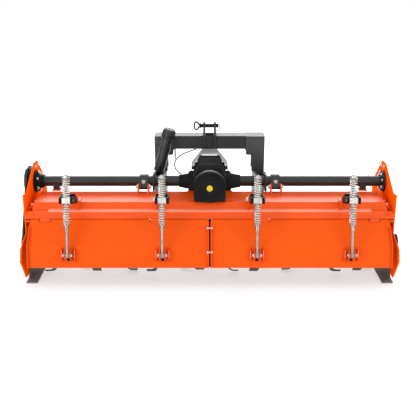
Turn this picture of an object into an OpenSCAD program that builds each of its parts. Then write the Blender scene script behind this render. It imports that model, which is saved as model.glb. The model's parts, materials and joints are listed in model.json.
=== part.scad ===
// Three-point rotary tiller, standing on its skids.
// X runs across the machine, +Y is the direction of travel, Z is up from the ground.
// Side profiles are drawn as [Y, Z] points measured from the rotor axis line (Y) and the ground (Z).

/* [Body] */
// Distance between the outer faces of the two side plates
body_w = 2370; // [2000:10:2600]
// Thickness of a side plate
plate_t = 8; // [6:1:12]
// Thickness of the hood and tailboard sheet
sheet_t = 5; // [3:1:8]

/* [Rotor] */
// Radius swept by the tine tips
tine_r = 196; // [185:1:203]
// Gap between the tine tips and the ground
ground_gap = 6; // [4:1:20]
// Outer diameter of the rotor tube
rotor_d = 76; // [60:1:90]
// Diameter of a tine flange
flange_d = 190; // [170:2:210]
// Thickness of a tine flange
flange_t = 10; // [8:1:14]
// Number of tine flanges along the rotor
flange_n = 10; // [6:1:11]
// Thickness of a tine's shank
tine_t = 8; // [6:1:10]
// Sideways reach of a tine's blade
tine_reach = 74; // [50:1:80]

/* [Cross tube and gearbox] */
// Outer diameter of the cross tube
tube_d = 70; // [60:1:80]
// Width of the gearbox between its side flanges
gearbox_w = 204; // [180:2:230]
// Diameter of the power take-off stub
stub_d = 35; // [30:1:40]

/* [Hitch] */
// Width of the hitch beam over its end plates
beam_w = 764; // [720:2:820]
// Height of the hitch beam
beam_h = 92; // [80:1:110]
// Top of the hitch beam above the hood's flat top
beam_rise = 319; // [290:1:350]
// Radius of the top link pin hole
top_pin_r = 12.7; // [9.6:0.1:16]
// Clear gap between the two top link ears
ear_gap = 60; // [50:1:70]
// Radius of the lower link pins
lower_pin_r = 14; // [11:0.5:18]
// Clear gap between the two lower lugs of a side
lug_gap = 52; // [44:1:60]

/* [Tailboard] */
// Reach of the tailboard's lower edge behind the rotor axis
tail_reach = 334; // [325:1:345]
// Height of the tailboard's lower edge
tail_bottom_z = 136; // [120:1:150]
// Radius of the tailboard's hinge pin
hinge_r = 8; // [6:0.5:10]
// Diameter of a spring rod
rod_d = 18; // [14:1:22]
// Outer diameter of a coil spring
spring_d = 46; // [40:1:52]
// Diameter of the spring wire
wire_d = 5.5; // [5:0.5:6]

/* [Skids] */
// Width of a skid's foot
skid_w = 70; // [50:1:90]
// Thickness of a skid's foot and web
skid_t = 10; // [8:1:14]

/* [Hidden] */
$fn = 64;
eps_fit = 0.3;             // gap between round pieces that are bolted together
run_fit = 0.05;            // radial running clearance of a pin in its bore
travel_gap = 34;           // side clearance of the moving tailboard

// Main places, as [Y, Z]. The outlines round the rotor are drawn for a tine radius of 196 and grow with it
half_w = body_w / 2;
inner_x = half_w - plate_t;
drawn_tine_r = 196;
drawn_rotor = [-55, 202];
rotor_at = [drawn_rotor[0], tine_r + ground_gap];
grow = tine_r / drawn_tine_r;

function drawn(p) = rotor_at + grow * (p - drawn_rotor);
function drawn_path(points) = [for (p = points) drawn(p)];

hinge_at = drawn([-172, 391]);
eye_at = drawn([-360, 232]);
swivel_at = drawn([-278, 564]);
hood_top_z = drawn([0, 495])[1];
tube_z = hood_top_z + 58;
tube_at = [170, tube_z];
tube_r = tube_d / 2;
beam_top_z = hood_top_z + beam_rise;
lower_pin_at = [500, 320];
top_pin_at = [432, beam_top_z + 62];
beam_rear_y = 382;
beam_depth = 100;
post_t = 12;
lug_t = 12;
lug_r = 36;
eye_lug_r = 18;
rear_y = eye_at[0] - eye_lug_r;
front_y = lower_pin_at[0] + lug_r;
y_shift = -(front_y + rear_y) / 2;

// Rows along X
outer_rod_x = half_w - 302;
inner_rod_x = outer_rod_x / 3;
rod_xs = [-outer_rod_x, -inner_rod_x, inner_rod_x, outer_rod_x];
rod_sides = [1, -1, -1, -1];      // side of each rod on which its gusset stands
clamp_x = beam_w / 2 + 60;

orange = "#f2580f";
black = "#2b2b2d";
zinc = "#d9d8d2";

module place() translate([0, y_shift, 0]) children();

// Draws a [Y, Z] profile and extrudes it along X from x0 to x1
module along_x(x0, x1) translate([x0, 0, 0]) rotate([90, 0, 90]) linear_extrude(x1 - x0) children();

// A round bar along X at a [Y, Z] point
module bar_x(at, r, x0, x1) translate([x0, at[0], at[1]]) rotate([0, 90, 0]) cylinder(r = r, h = x1 - x0);

// A round bar along Y at an [X, Z] point
module bar_y(at, r, y0, y1) translate([at[0], y0, at[1]]) rotate([-90, 0, 0]) cylinder(r = r, h = y1 - y0);

// Left-hand unit normal of a segment
function normal(a, b) = let (d = b - a) [-d[1], d[0]] / norm(d);

// A path moved sideways by t, mitred at its corners
function offset_path(p, t) = [for (i = [0:len(p) - 1])
    let (n0 = i > 0 ? normal(p[i - 1], p[i]) : normal(p[0], p[1]),
         n1 = i < len(p) - 1 ? normal(p[i], p[i + 1]) : normal(p[i - 1], p[i]),
         m = n0 + n1)
    p[i] + m * (2 * t / (m * m))];

function reversed(p) = [for (i = [len(p) - 1:-1:0]) p[i]];

// Closed outline of a sheet of thickness t whose outer face follows the path
function sheet_outline(p, t) = concat(p, reversed(offset_path(p, t)));

// Slab between two round ends: two discs and a web whose edges lie just inside their common tangents
web_in = 0.998;

module link_plate(a, ra, b, rb, x0, x1) {
    d = b - a;
    l = norm(d);
    base = atan2(d[1], d[0]);
    spread = acos((ra - rb) / l);
    bar_x(a, ra, x0, x1);
    bar_x(b, rb, x0, x1);
    along_x(x0, x1) polygon([
        a + ra * web_in * [cos(base + spread), sin(base + spread)],
        a + ra * web_in * [cos(base - spread), sin(base - spread)],
        b + rb * web_in * [cos(base - spread), sin(base - spread)],
        b + rb * web_in * [cos(base + spread), sin(base + spread)]]);
}

// Knuckles of the tailboard's hinge
knuckle_r = hinge_r + 8;
knuckle_w = 60;
knuckle_gap = 6;
knuckle_x = inner_x - 130;
hood_knuckles = [-knuckle_x, -knuckle_x / 3, knuckle_x / 3, knuckle_x];
lip_gap = 10;

// Hood: one folded sheet over the rotor with hipped ends, and its share of the knuckles
hip_w = 52;
slice_t = 1;
lip_at = hinge_at + (knuckle_r + lip_gap) * unit([-14, 22]);
hood_path = concat([lip_at], drawn_path([[-138, 446], [-104, 495], [118, 495], [290, 400], [318, 300]]));

hip_path = [for (i = [1:len(hood_path) - 1]) hood_path[i]];

// A path run on past both of its ends
function run_on(p, l) = let (n = len(p) - 1)
    concat([p[0] + l * unit(p[0] - p[1])], p, [p[n] + l * unit(p[n] - p[n - 1])]);

hip_end = drawn_path([[-134, 436], [-100, 440], [118, 415], [268, 350], [296, 290]]);

module hip_slice(p, x) along_x(x, x + slice_t) polygon(p);

// One end of the hood, sloping down to the side plate
module hood_hip() difference() {
    hull() {
        hip_slice(hip_path, inner_x - hip_w - slice_t / 2);
        hip_slice(hip_end, inner_x - slice_t);
    }
    hull() {
        hip_slice(run_on(offset_path(hip_path, -sheet_t), 30), inner_x - hip_w - slice_t);
        hip_slice(run_on(offset_path(hip_end, -sheet_t), 30), inner_x);
    }
}

module hood() color(orange) difference() {
    union() {
        along_x(hip_w - inner_x, inner_x - hip_w) polygon(sheet_outline(hood_path, -sheet_t));
        along_x(-inner_x, inner_x) polygon(sheet_outline([lip_at, hood_path[1]], -sheet_t));
        hood_hip();
        mirror([1, 0, 0]) hood_hip();
        for (x = hood_knuckles) bar_x(hinge_at, knuckle_r, x - knuckle_w / 2, x + knuckle_w / 2);
        for (x = hood_knuckles) along_x(x - knuckle_w / 2, x + knuckle_w / 2)
            polygon([hinge_at, hinge_at + [knuckle_r, 0], hood_path[1] - [0, 4], lip_at + [6, 0],
                hinge_at - [knuckle_r, 0]]);
    }
    bar_x(hinge_at, hinge_r + run_fit, -inner_x - 1, inner_x + 1);
}

// Gussets that carry the spring arms, the gearbox saddle and the tube lugs on the hood
gusset_t = 8;
arm_t = 10;
arm_bolt_at = drawn([-144, 528]);
gusset_path = drawn_path([[-104, 495], [-138, 446], [-158, 480], [-176, 553], [-136, 568], [-46, 495]]);
fork_w = spring_d + 20;

module hood_brackets() color(orange) {
    for (i = [0:3]) {
        x = rod_xs[i] + rod_sides[i] * (fork_w / 2 + arm_t + gusset_t / 2);
        along_x(x - gusset_t / 2, x + gusset_t / 2) difference() {
            polygon(gusset_path);
            translate(arm_bolt_at) circle(r = 8);
        }
    }
    saddle();
    for (s = [-1, 1]) translate([s * pad_x - pad_w / 2 - 6, tube_at[0] - pad_w, hood_top_z]) cube([pad_w + 12, pad_w, foot_t]);
    for (s = [-1, 1], o = [-1, 1]) tube_lug(s * clamp_x + o * lug_spread);
}

// Pads that hold the cross tube off the hood near its ends
pad_x = inner_x - 144;
pad_w = 42;
foot_t = 8;

saddle_t = 8;
gearbox_bottom_z = hood_top_z + saddle_t;

saddle_w = gearbox_w + 96;
gearbox_rear_y = -88;
saddle_y = gearbox_rear_y + 2;

module saddle() translate([-saddle_w / 2, saddle_y, hood_top_z]) cube([saddle_w, hood_path[3][0] - 2 - saddle_y, saddle_t]);

lug_spread = 34;
hood_lug_t = 8;
clamp_bolt_at = [tube_at[0] - 60, tube_z - 22];

module tube_lug(x) along_x(x - hood_lug_t / 2, x + hood_lug_t / 2) difference() {
    polygon([[clamp_bolt_at[0] - 100, hood_top_z], [clamp_bolt_at[0], hood_top_z], clamp_bolt_at + [20, 12], clamp_bolt_at + [0, 22],
        clamp_bolt_at + [-20, 12]]);
    translate(clamp_bolt_at) circle(r = 8);
}

// Side plates, with the wide lower ear that guards the tailboard's end
plate_outline = drawn_path([[262, 670], [168, 678], [-78, 544], [-154, 558], [-160, 306], [-318, 254], [-346, 182],
    [-250, 32], [330, 26], [440, 110], [470, 300], [466, 470]]);

module side_plate(x0) color(orange) difference() {
    along_x(x0, x0 + plate_t) polygon(plate_outline);
    bar_x(rotor_at, journal_r + run_fit, x0 - 1, x0 + plate_t + 1);
    bar_x(tube_at, tube_r - 8, x0 - 1, x0 + plate_t + 1);
}

module side_plate_left() side_plate(-half_w);
module side_plate_right() side_plate(inner_x);

// Hinge pin of the tailboard, held in the side plates' inner faces and in the hood's knuckles
module hinge_pin() color(orange) {
    bar_x(hinge_at, hinge_r, -inner_x, inner_x);
}

// Cross tube, in two runs that enter the gearbox's trumpets
trumpet_len = 70;
side_flange_t = 34;
tube_in_x = gearbox_w / 2 + side_flange_t + trumpet_len;
hub_len = 62;
flange_len = 14;

module cross_tube() color(black) {
    bar_x(tube_at, tube_r, -inner_x + hub_len, -tube_in_x);
    bar_x(tube_at, tube_r, tube_in_x, inner_x - flange_len);
}

module bolt_ring(at, pcd, n, r, x0, x1) for (i = [0:n - 1])
    bar_x(at + pcd / 2 * [cos(360 * (i + 0.5) / n), sin(360 * (i + 0.5) / n)], r, x0, x1);

hub_d = 148;
hub_flange_t = 16;

module left_hub() color(black) {
    translate([-inner_x, tube_at[0], tube_at[1]]) rotate([0, 90, 0]) rotate_extrude()
        polygon([[0, 0], [hub_d / 2, 0], [hub_d / 2, hub_flange_t], [hub_d / 2 - 22, hub_flange_t + 4],
            [tube_r + 10, hub_len - 16], [tube_r + 10, hub_len], [0, hub_len]]);
    bolt_ring(tube_at, hub_d - 24, 6, 9, -inner_x + hub_flange_t, -inner_x + hub_flange_t + 9);
}

flange_tube_d = 144;

module right_flange() color(black) {
    bar_x(tube_at, flange_tube_d / 2, inner_x - flange_len, inner_x);
    bolt_ring(tube_at, flange_tube_d - 26, 8, 8, inner_x - flange_len - 8, inner_x - flange_len);
}

// Gearbox: housing with a raised neck, side flanges and trumpets, a rear cover and its oil plug
gearbox_front_y = 300;
neck_front_y = 214;
gearbox_mid_z = hood_top_z + 155;
gearbox_top_z = hood_top_z + 226;
gear_axis_z = hood_top_z + 105;
cover_r = gearbox_w / 2 + 3;
cover_t = 40;
stub_z = hood_top_z + 150 - stub_d;
journal_d = stub_d + 5;
flange_half = 62;
flange_cut = 24;

// A rectangle about the tube's axis with cut corners
module cut_square(h, c) polygon([[-h, c - h], [c - h, -h], [h - c, -h], [h, c - h], [h, h - c], [h - c, h], [c - h, h], [-h, h - c]]);

module gearbox() color(black) {
    difference() {
        union() {
            along_x(-gearbox_w / 2, gearbox_w / 2) polygon([[gearbox_rear_y, gearbox_bottom_z],
                [gearbox_rear_y, gearbox_mid_z], [gearbox_front_y, gearbox_mid_z],
                [gearbox_front_y, gearbox_bottom_z + 30], [gearbox_front_y - 40, gearbox_bottom_z]]);
            gearbox_neck();
        }
        bar_y([0, stub_z], journal_d / 2 + run_fit, gearbox_front_y - 60, gearbox_front_y + 1);
    }
    for (s = [0, 1]) mirror([s, 0, 0]) {
        translate([0, tube_at[0], tube_at[1]]) along_x(gearbox_w / 2 - 1, gearbox_w / 2 + side_flange_t)
            cut_square(flange_half, flange_cut);
        translate([gearbox_w / 2 + side_flange_t - 1, tube_at[0], tube_at[1]]) rotate([0, 90, 0]) rotate_extrude()
            polygon([[0, 0], [tube_r + 20, 0], [tube_r + 15, 24], [tube_r + 8, trumpet_len - 13],
                [tube_r + 8, trumpet_len + 1], [0, trumpet_len + 1]]);
    }
}

// Raised neck over the input gears, with a bolted rim
module gearbox_neck() {
    translate([0, neck_front_y, 0]) rotate([90, 0, 0]) linear_extrude(neck_front_y - gearbox_rear_y - 50)
        polygon([[-gearbox_w / 2 + 6, gearbox_mid_z - 1], [gearbox_w / 2 - 6, gearbox_mid_z - 1],
            [gearbox_w / 2 - 34, gearbox_top_z], [34 - gearbox_w / 2, gearbox_top_z]]);
    translate([-gearbox_w / 2 - 4, gearbox_rear_y + 30, gearbox_mid_z - 12])
        cube([gearbox_w + 8, neck_front_y - gearbox_rear_y - 20, 14]);
}

plug_r = 13;
plug_depth = 8;
cover_y = gearbox_rear_y - cover_t - 8;

module gearbox_cover() color(black) difference() {
    union() {
        translate([0, gearbox_rear_y, 0]) rotate([90, 0, 0]) linear_extrude(cover_t) {
            translate([0, gear_axis_z]) intersection() {
                circle(r = cover_r);
                translate([-cover_r, 0]) square([2 * cover_r, cover_r]);
            }
            polygon([[6 - cover_r, gear_axis_z + 1], [cover_r - 6, gear_axis_z + 1], [cover_r - 6, gearbox_bottom_z + 4],
                [0, gearbox_bottom_z - 6], [6 - cover_r, gearbox_bottom_z + 4]]);
        }
        bar_y([0, gear_axis_z], cover_r - 22, cover_y, gearbox_rear_y - cover_t + 1);
        bar_y([0, gear_axis_z], plug_r + 12, cover_y - 4, cover_y + 1);
        for (r = [cover_r - 32, cover_r - 52]) cover_ridge(r);
    }
    bar_y([0, gear_axis_z], plug_r, cover_y - 5, cover_y + plug_depth);
}

// A raised ring on the cover's face
module cover_ridge(r) translate([0, cover_y, gear_axis_z]) rotate([90, 0, 0]) rotate_extrude()
    translate([r, 0]) polygon([[-5, -1], [5, -1], [3, 5], [-3, 5]]);

module oil_plug() color("#e6c21a") {
    bar_y([0, gear_axis_z], plug_r - eps_fit, cover_y - 4, cover_y + plug_depth);
    bar_y([0, gear_axis_z], plug_r + 6, cover_y - 14, cover_y - 4);
}

// Guard over the power take-off stub: a folded sheet open at the front and below
guard_rear_y = neck_front_y + 8;
guard_len = 144;
guard_t = 4;
guard_w = gearbox_w / 2 + 22;
guard_path = [[-guard_w, gearbox_mid_z - 50], [-guard_w, gearbox_mid_z - 12], [-52, gearbox_top_z + 6],
    [52, gearbox_top_z + 6], [guard_w, gearbox_mid_z - 12], [guard_w, gearbox_mid_z - 50]];

module pto_guard() color(black) {
    translate([0, guard_rear_y + guard_len, 0]) rotate([90, 0, 0]) linear_extrude(guard_len)
        polygon(sheet_outline(guard_path, -guard_t));
    for (s = [0, 1]) mirror([s, 0, 0]) translate([gearbox_w / 2, gearbox_front_y - 50, gearbox_mid_z - 40])
        cube([guard_w - gearbox_w / 2 - 1, 30, 20]);
}

// Splined stub that takes the drive shaft
stub_len = 110;

module pto_stub() color("#8d8f92") {
    bar_y([0, stub_z], stub_d / 2, gearbox_front_y - 1, gearbox_front_y + stub_len);
    bar_y([0, stub_z], journal_d / 2, gearbox_front_y - 58, gearbox_front_y);
}

// Drive case on the left side plate, from the cross shaft down to the rotor
case_t = 26;
case_cover_t = 10;
case_out = 50;
case_top_r = 104;
case_low_r = 92;

module drive_case() color(black)
    link_plate(tube_at, case_top_r - 8, rotor_at, case_low_r - 8, -half_w - case_t, -half_w);

module drive_case_cover() color(black) {
    link_plate(tube_at, case_top_r, rotor_at, case_low_r, -half_w - case_t - case_cover_t, -half_w - case_t);
    case_boss(tube_at, case_top_r - 12);
    case_boss(rotor_at, case_low_r - 34);
}

// A domed boss over a bearing, out to the case's full width
module case_boss(at, r) translate([-half_w - case_t - 1, at[0], at[1]]) rotate([0, -90, 0]) rotate_extrude()
    polygon([[0, 0], [r, 0], [r, case_out - case_t - 9], [r - 8, case_out - case_t - 1], [0, case_out - case_t - 1]]);

// Bearing housing of the rotor's right end
module bearing_right() color(black) {
    bar_x(rotor_at, 78, half_w, half_w + 14);
    bar_x(rotor_at, 52, half_w + 14, half_w + case_out);
}

// Hitch: beam, end posts, side plates round the cross tube, ears and pins
beam_bottom_z = beam_top_z - beam_h;
beam_half = beam_w / 2;
post_out = beam_half - lug_t;
post_in = post_out - lug_gap;
post_foot_z = 500;
post_w = 88;
knee_x = beam_half - 130;
knee_r = 14;
knee_z = beam_bottom_z - 26;

module hitch_beam() color(black)
    translate([-beam_half, beam_rear_y, beam_bottom_z]) cube([beam_w, beam_depth, beam_h]);

// One end post: a flat plate with a rounded knee under the beam
module post_plate(y0) translate([0, y0 + post_t, 0]) rotate([90, 0, 0]) linear_extrude(post_t) {
    polygon([[beam_half, beam_top_z], [beam_half, side_top_z], [post_out, side_top_z], [post_out, post_foot_z],
        [post_in, post_foot_z], [post_in, side_top_z], [beam_half - post_w, side_top_z],
        [beam_half - post_w, knee_z - knee_r], [knee_x + knee_r, knee_z - knee_r],
        [knee_x, knee_z], [knee_x, beam_top_z]]);
    translate([knee_x + knee_r, knee_z]) circle(r = knee_r);
}

module hitch_posts() color(black) for (s = [0, 1]) mirror([s, 0, 0]) {
    post_plate(beam_rear_y - post_t);
    post_plate(beam_rear_y + beam_depth);
}

// Plates that grip the cross tube, carry the posts and reach down to the lower link pins
side_top_z = tube_z + 12;
side_front_y = beam_rear_y + beam_depth + post_t;

module hitch_side_plate(x0) difference() {
    union() {
        along_x(x0, x0 + lug_t) polygon([tube_at + [-62, 4 - tube_z + hood_top_z], tube_at + [-62, 28],
            tube_at + [-38, 54], tube_at + [44, 54], [tube_at[0] + 112, side_top_z], [side_front_y, side_top_z],
            [side_front_y, tube_z - 80], lower_pin_at + [-2 * lug_r, lug_r], tube_at + [40, 4 - tube_z + hood_top_z]]);
        link_plate([side_front_y - 60, tube_z - 60], 60, lower_pin_at, lug_r, x0, x0 + lug_t);
    }
    bar_x(tube_at, tube_r + eps_fit, x0 - 1, x0 + lug_t + 1);
    bar_x(lower_pin_at, lower_pin_r + eps_fit, x0 - 1, x0 + lug_t + 1);
}

module hitch_side_plates() color(black) for (s = [0, 1]) mirror([s, 0, 0])
    for (x = [post_out, post_in - lug_t]) hitch_side_plate(x);

ear_t = 14;

module top_ears() color(black) for (s = [0, 1]) mirror([s, 0, 0]) {
    x0 = ear_gap / 2;
    difference() {
        union() {
            along_x(x0, x0 + ear_t) polygon([[beam_rear_y + 90, beam_top_z], [beam_rear_y, beam_top_z],
                [beam_rear_y, beam_bottom_z + 12], [beam_rear_y - ear_t, beam_bottom_z + 12],
                [beam_rear_y - ear_t, beam_top_z + 14], top_pin_at - [26, 0], top_pin_at + [26, 0]]);
            bar_x(top_pin_at, 26, x0, x0 + ear_t);
        }
        bar_x(top_pin_at, top_pin_r, x0 - 1, x0 + ear_t + 1);
    }
}

pin_over = 18;

module top_pin() color("#55565a") {
    end = ear_gap / 2 + ear_t + pin_over;
    bar_x(top_pin_at, top_pin_r - run_fit, -end, end);
    bar_x(top_pin_at, top_pin_r + 5, -end - 6, -end);
}

lower_pin_len = 104;
pin_head_t = 12;

module lower_pins() color("#55565a") for (s = [0, 1]) mirror([s, 0, 0]) {
    x0 = post_in - lug_t;
    bar_x(lower_pin_at, lower_pin_r, x0 - pin_head_t, beam_half + lower_pin_len);
    bar_x(lower_pin_at, lower_pin_r + 9, x0 - pin_head_t, x0);
    bar_x(lower_pin_at, lower_pin_r + 9, beam_half, beam_half + pin_head_t);
}

// Clamps that hang the hood's lugs from the cross tube
clamp_w = 2 * lug_spread - hood_lug_t - 2;

module tube_pad(x) difference() {
    translate([x - pad_w / 2, tube_at[0] - pad_w + 8, hood_top_z + foot_t]) cube([pad_w, pad_w - 8, tube_z - hood_top_z - foot_t]);
    bar_x(tube_at, tube_r + eps_fit, x - pad_w, x + pad_w);
}

module tube_clamps() color(black) {
    for (s = [-1, 1]) tube_pad(s * pad_x);
    for (s = [-1, 1]) tube_clamp(s);
}

module tube_clamp(s) difference() {
    union() {
        bar_x(tube_at, tube_r + 12, s * clamp_x - clamp_w / 2, s * clamp_x + clamp_w / 2);
        link_plate(tube_at, tube_r + 8, clamp_bolt_at, 18, s * clamp_x - clamp_w / 2, s * clamp_x + clamp_w / 2);
    }
    bar_x(tube_at, tube_r + eps_fit, s * clamp_x - clamp_w, s * clamp_x + clamp_w);
    bar_x(clamp_bolt_at, 8, s * clamp_x - clamp_w, s * clamp_x + clamp_w);
}

// Arms: a flat bar bolted to a gusset, ending in a fork that carries the swivel
trunnion_r = 9;
fork_t = 10;
fork_r = 22;
fork_reach = 62;

module spring_arms() color(black) for (i = [0:3]) {
    x = rod_xs[i];
    s = rod_sides[i];
    mirror([s > 0 ? 0 : 1, 0, 0]) translate([s * x, 0, 0]) spring_arm();
}

module spring_arm() difference() {
    union() {
        link_plate(arm_bolt_at, 24, swivel_at, fork_r, fork_w / 2, fork_w / 2 + fork_t);
        bar_x(swivel_at, fork_r, -fork_w / 2 - fork_t, -fork_w / 2);
        fork_back();
    }
    bar_x(swivel_at, trunnion_r + run_fit, -fork_w, fork_w);
}

// Cross piece of the fork, in front of the spring
module fork_back() {
    translate([-fork_w / 2 - fork_t, swivel_at[0] + fork_reach, swivel_at[1] - fork_r])
        cube([fork_w + 2 * fork_t, fork_t, 2 * fork_r]);
    translate([-fork_w / 2 - fork_t, swivel_at[0], swivel_at[1] - fork_r])
        cube([fork_t, fork_reach + fork_t, 2 * fork_r]);
}

// Line of a spring rod, from its eye on the tailboard up through the swivel
rod_lean = atan2(swivel_at[0] - eye_at[0], swivel_at[1] - eye_at[1]);
rod_span = norm(swivel_at - eye_at);
rod_above = 158;
swivel_h = 34;

// Puts children on a rod's line: Z along the rod, zero at the swivel
module on_rod(x) translate([x, swivel_at[0], swivel_at[1]]) rotate([-rod_lean, 0, 0]) children();

swivel_w = fork_w - 2;
swivel_d = 32;

module rod_swivels() color(zinc) for (x = rod_xs) difference() {
    union() {
        on_rod(x) translate([-swivel_w / 2, -swivel_d / 2, -swivel_h / 2]) cube([swivel_w, swivel_d, swivel_h]);
        for (s = [-1, 1]) bar_x(swivel_at, trunnion_r, x + (s > 0 ? rod_d : -fork_w / 2 - fork_t),
            x + (s > 0 ? fork_w / 2 + fork_t : -rod_d));
    }
    on_rod(x) cylinder(r = rod_d / 2 + run_fit, h = 3 * swivel_h, center = true);
}

// Spring seats on the rod
seat_t = 6;
seat_low = 144;
sleeve_h = 38;
nut_h = 16;
eye_r = 17;
eye_bore_r = 10;
eye_pin_r = 6;
eye_w = 20;

module spring_rods() color(zinc) for (x = rod_xs) {
    difference() {
        union() {
            on_rod(x) translate([0, 0, -rod_span + eye_r - 4]) cylinder(d = rod_d, h = rod_span + rod_above - eye_r + 4);
            bar_x(eye_at, eye_r, x - eye_w / 2, x + eye_w / 2);
        }
        bar_x(eye_at, eye_bore_r, x - eye_w, x + eye_w);
    }
    on_rod(x) {
        translate([0, 0, -seat_low - seat_t]) washer(spring_d / 2 + 1, seat_t);
        translate([0, 0, -seat_low - seat_t - sleeve_h]) washer(13, sleeve_h);
        translate([0, 0, rod_above - nut_h - seat_t]) washer(spring_d / 2 + 1, seat_t);
        translate([0, 0, rod_above - nut_h]) washer(15, nut_h - 4);
    }
}

module washer(r, h) difference() {
    cylinder(r = r, h = h);
    translate([0, 0, -1]) cylinder(d = rod_d, h = h + 2);
}

// Helical spring as one swept polyhedron
spring_sides = 4;
spring_steps = 8;

module helix(height, turns) {
    r = (spring_d - wire_d) / 2;
    n = turns * spring_steps;
    pts = [for (i = [0:n], j = [0:spring_sides - 1])
        let (a = 360 * i / spring_steps, b = 360 * j / spring_sides,
             q = r + wire_d / 2 * cos(b))
        [q * cos(a), q * sin(a), wire_d / 2 + (height - wire_d) * i / n + wire_d / 2 * sin(b)]];
    s = spring_sides;
    faces = concat(
        [[for (j = [0:s - 1]) j]],
        [for (i = [0:n - 1], j = [0:s - 1], h = [0, 1]) let (k = (j + 1) % s)
            h == 0 ? [i * s + k, i * s + j, (i + 1) * s + j] : [i * s + k, (i + 1) * s + j, (i + 1) * s + k]],
        [[for (j = [s - 1:-1:0]) n * s + j]]);
    polyhedron(pts, faces, convexity = 10);
}

upper_len = rod_above - nut_h - seat_t - swivel_h / 2 - 0.6;
lower_len = seat_low - swivel_h / 2 - 0.6;

module upper_springs() color(zinc) for (x = rod_xs) on_rod(x) translate([0, 0, swivel_h / 2 + 0.3]) helix(upper_len, 8);
module lower_springs() color(zinc) for (x = rod_xs) on_rod(x) translate([0, 0, -seat_low + 0.3]) helix(lower_len, 8);

// Tailboard: two folded panels, flanged at their ends and bolted together over a narrow gap
tail_fold = drawn([-306, 270]);
tail_dir = unit(tail_fold - hinge_at);
tail_out = [tail_dir[1], -tail_dir[0]];
tail_path = [hinge_at + (knuckle_r - 2.5) * tail_out + 5 * tail_dir, tail_fold, drawn([-tail_reach, tail_bottom_z])];
tail_gap = 10;
tail_end_x = inner_x - travel_gap;
rim_t = 6;
rim_h = 18;
rim_start = 46;
rim_path = [tail_path[0] + rim_start * unit(tail_fold - tail_path[0]), tail_fold, tail_path[2]];

// Point of the tailboard's lower face at a height
function tail_at(z) = let (f = (z - tail_path[2][1]) / (tail_fold[1] - tail_path[2][1]))
    tail_path[2] + f * (tail_fold - tail_path[2]);

module tail_panel(x0, x1) difference() {
    union() {
        along_x(x0, x1) polygon(sheet_outline(tail_path, sheet_t));
        for (x = [x0, x1 - rim_t]) along_x(x, x + rim_t)
            polygon(concat(offset_path(rim_path, sheet_t / 2), reversed(offset_path(rim_path, -rim_h))));
        bar_x(hinge_at, knuckle_r, x0 + rim_t, x1 - rim_t);
    }
    for (x = hood_knuckles) bar_x(hinge_at, knuckle_r + 4, x - knuckle_w / 2 - knuckle_gap, x + knuckle_w / 2 + knuckle_gap);
    bar_x(hinge_at, hinge_r + run_fit, x0 - 1, x1 + 1);
}

module tailboard_right() color(orange) tail_panel(tail_gap / 2, tail_end_x);
module tailboard_left() color(orange) tail_panel(-tail_end_x, -tail_gap / 2);

// Brackets on the tailboard that take the eyes of the spring rods
ear_w = 8;

bracket_w = 84;
wing_t = 4;
wing_h = 26;
base_gap = 0.1;
base_low = tail_at(eye_at[1] - 56);
base_high = tail_at(eye_at[1] + 34);
base_out = [-1, 0] * (base_gap + wing_t);

module tailboard_brackets() color(orange) for (x = rod_xs) {
    along_x(x - bracket_w / 2, x + bracket_w / 2) polygon([base_low - [base_gap, 0], base_high - [base_gap, 0],
        base_high + base_out, base_low + base_out]);
    for (s = [-1, 1]) {
        x0 = x + s * (eye_w / 2 + 3) + (s < 0 ? -ear_w : 0);
        bar_x(eye_at, eye_lug_r, x0, x0 + ear_w);
        along_x(x0, x0 + ear_w) polygon([eye_at + [0, eye_lug_r], eye_at - [0, eye_lug_r],
            base_low - [2, 0], base_high - [2, 0]]);
        x1 = x + s * bracket_w / 2 - (s > 0 ? wing_t : 0);
        along_x(x1, x1 + wing_t) polygon([base_low - [2, 0], base_high - [2, 0], base_high + [-wing_h, -12],
            base_low + [-wing_h, 12]]);
    }
    bar_x(eye_at, eye_pin_r, x - eye_w / 2 - 3 - ear_w, x + eye_w / 2 + 3 + ear_w);
}

// Rotor: tube with tine flanges
rotor_half = inner_x - 14;
journal_r = rotor_d / 2 - 8;
tine_row = inner_x - 96 - tine_reach;

function flange_x(i) = -tine_row + 2 * tine_row * i / (flange_n - 1);

module rotor_shaft() color(black) {
    bar_x(rotor_at, rotor_d / 2, -rotor_half, rotor_half);
    bar_x(rotor_at, journal_r, -half_w + eps_fit, half_w - eps_fit);
}

// One tine: a flat bar bent sideways near its tip, cut to a sickle's outline
shank_w = 44;
root_r = 52;
bend_r = 44;
tip_r = tine_r - 3;
sickle_r = 195;
sickle_at = [75, sickle_r];
bend_steps = 4;

module sickle() intersection() {
    circle(r = tine_r);
    difference() {
        translate(sickle_at) circle(r = sickle_r + shank_w / 2, $fn = 40);
        translate(sickle_at) circle(r = sickle_r - shank_w / 2, $fn = 40);
    }
    translate([root_r, -shank_w]) square([tine_r, 3 * shank_w]);
}

// Quarter turn of the bend at a radius, from the shank's side to the blade's
function bend(r) = [for (i = [0:bend_steps])
    let (a = 180 - 90 * i / bend_steps) [bend_r + r * cos(a), tip_r - bend_r + r * sin(a)]];

module bent_bar() translate([0, 0, -shank_w]) linear_extrude(3 * shank_w)
    polygon(concat([[0, 0]], bend(bend_r), [[tine_reach, tip_r], [tine_reach, tip_r - tine_t]],
        reversed(bend(bend_r - tine_t)), [[tine_t, 0]]));

module tine(side) mirror([side > 0 ? 0 : 1, 0, 0]) intersection() {
    along_x(0, tine_reach) sickle();
    bent_bar();
}

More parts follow.
